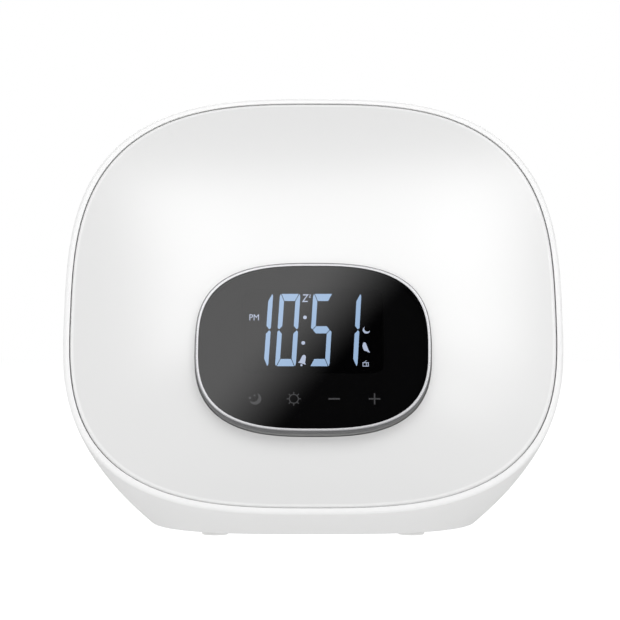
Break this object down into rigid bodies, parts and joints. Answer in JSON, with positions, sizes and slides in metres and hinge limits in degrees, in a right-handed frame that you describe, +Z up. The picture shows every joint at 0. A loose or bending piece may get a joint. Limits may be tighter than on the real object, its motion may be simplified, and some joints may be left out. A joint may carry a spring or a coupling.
{
  "type": "sunrise alarm clock",
  "caption": "Bedside sunrise alarm clock: domed opal light diffuser with a dark touch display, leaning bowl-shaped housing, rear speaker and keys, power inlet, button cell cover.",
  "frame": {"origin": "centre of the bounding box in X and Y, at the undersides of the feet", "axes": "+X to the right of someone who looks at the display, -Y towards that viewer, +Z up"},
  "size_m": [0.2, 0.1049, 0.1796],
  "materials": {
    "basket_steel": "black stoved",
    "bezel_silver": "silver metallised",
    "board_green": "solder mask",
    "board_white": "solder mask",
    "cap_paper": "pressed",
    "capacitor_can": "sleeved",
    "cell_steel": "polished",
    "chip_black": "moulded",
    "coil_copper": "wound",
    "cone_paper": "pressed",
    "contact_brass": "plated",
    "cover_white": "moulded",
    "diffuser_opal": "satin opal",
    "elastomer_black": "moulded",
    "elastomer_grey": "moulded",
    "foot_rubber": "moulded",
    "gasket_foam": "cellular",
    "grommet_rubber": "moulded",
    "holder_black": "moulded",
    "housing_white": "satin moulded",
    "jack_black": "moulded",
    "key_white": "moulded",
    "lcd_glass": "polished",
    "lead_black": "extruded",
    "lead_grey": "extruded",
    "lead_red": "extruded",
    "lead_white": "extruded",
    "led_yellow": "cast",
    "light_guide": "clear frosted",
    "magnet_ferrite": "sintered",
    "plate_steel": "zinc plated",
    "plunger_black": "moulded",
    "reflector_white": "moulded",
    "screw_steel": "zinc plated",
    "socket_white": "moulded",
    "spider_cloth": "corrugated",
    "surround_rubber": "moulded",
    "switch_black": "moulded",
    "terminal_board": "laminated",
    "window_black": "polished black"
  },
  "bodies": {
    "clock_body": {"aerial_grommet": "grommet_rubber", "amplifier_chip": "chip_black", "board_screws": "screw_steel", "board_sockets": "socket_white", "button_cell": "cell_steel", "capacitors": "capacitor_can", "cell_leads": "lead_red", "dc_jack": "jack_black", "display_bezel": "bezel_silver", "display_board": "board_green", "display_lead": "lead_grey", "display_screws": "screw_steel", "display_socket": "socket_white", "display_window": "window_black", "foot_front_left": "foot_rubber", "foot_front_right": "foot_rubber", "foot_rear_left": "foot_rubber", "foot_rear_right": "foot_rubber", "frame_screws": "screw_steel", "front_diffuser": "diffuser_opal", "key_switches": "switch_black", "lcd_glass": "lcd_glass", "lcd_holder": "holder_black", "lcd_light_guide": "light_guide", "led_board": "board_white", "led_lead": "lead_white", "led_screws": "screw_steel", "led_socket": "socket_white", "light_sources": "led_yellow", "main_board": "board_green", "negative_contact": "contact_brass", "positive_contact": "contact_brass", "processor_chip": "chip_black", "rear_housing": "housing_white", "reflector_frame": "reflector_white", "speaker_basket": "basket_steel", "speaker_gasket": "gasket_foam", "speaker_lead": "lead_black", "speaker_magnet": "magnet_ferrite", "speaker_screws": "screw_steel", "speaker_spider": "spider_cloth", "speaker_surround": "surround_rubber", "speaker_terminals": "terminal_board", "speaker_top_plate": "plate_steel", "speaker_yoke": "plate_steel", "touch_pads": "elastomer_black", "zebra_strips": "elastomer_grey"},
    "key_volume_down": {"key_volume_down": "key_white", "plunger_volume_down": "plunger_black"},
    "key_volume_up": {"key_volume_up": "key_white", "plunger_volume_up": "plunger_black"},
    "key_tune_down": {"key_tune_down": "key_white", "plunger_tune_down": "plunger_black"},
    "key_tune_up": {"key_tune_up": "key_white", "plunger_tune_up": "plunger_black"},
    "cell_cover": {"cell_cover": "cover_white"},
    "speaker_diaphragm": {"speaker_cone": "cone_paper", "voice_coil": "coil_copper", "dust_cap": "cap_paper"}
  },
  "joints": [
    {"name": "press_volume_down", "type": "slide", "parent": "clock_body", "child": "key_volume_down", "axis": [0, -1, 0], "range_m": [0, 0.0005], "stiffness_N_per_m": 2000},
    {"name": "press_volume_up", "type": "slide", "parent": "clock_body", "child": "key_volume_up", "axis": [0, -1, 0], "range_m": [0, 0.0005], "stiffness_N_per_m": 2000},
    {"name": "press_tune_down", "type": "slide", "parent": "clock_body", "child": "key_tune_down", "axis": [0, -1, 0], "range_m": [0, 0.0005], "stiffness_N_per_m": 2000},
    {"name": "press_tune_up", "type": "slide", "parent": "clock_body", "child": "key_tune_up", "axis": [0, -1, 0], "range_m": [0, 0.0005], "stiffness_N_per_m": 2000},
    {"name": "cell_cover_turn", "type": "hinge", "parent": "clock_body", "child": "cell_cover", "pos_m": [0, 0.012, 0.003], "axis": [0, 0, -1], "range_deg": [0, 60]},
    {"name": "diaphragm_travel", "type": "slide", "parent": "clock_body", "child": "speaker_diaphragm", "axis": [0, 1, 0], "range_m": [-0.0008, 0.0008], "stiffness_N_per_m": 1500, "deforming": ["speaker_surround", "speaker_spider"]}
  ]
}
